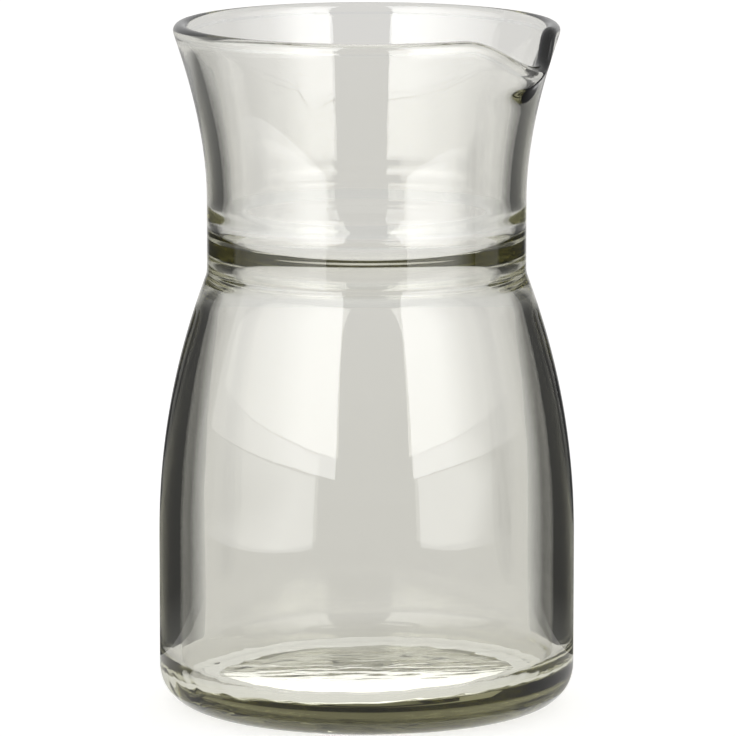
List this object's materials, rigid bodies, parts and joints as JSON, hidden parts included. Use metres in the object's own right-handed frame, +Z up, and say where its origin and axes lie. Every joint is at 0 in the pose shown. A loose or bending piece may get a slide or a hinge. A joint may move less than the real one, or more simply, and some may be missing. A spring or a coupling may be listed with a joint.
{
  "type": "milk jug",
  "caption": "Small clear glass milk jug without a handle: straight body, drawn-in shoulder, flared neck and a pulled pouring lip.",
  "frame": {"origin": "centre of the foot, on the surface that the jug stands on", "axes": "+Z up the jug's axis, +X towards the pouring lip"},
  "size_m": [0.088, 0.088, 0.145],
  "materials": {
    "clear_glass": "fire-polished, faintly grey-green where it is thick"
  },
  "bodies": {
    "root": {"jug": "clear_glass"}
  },
  "joints": []
}
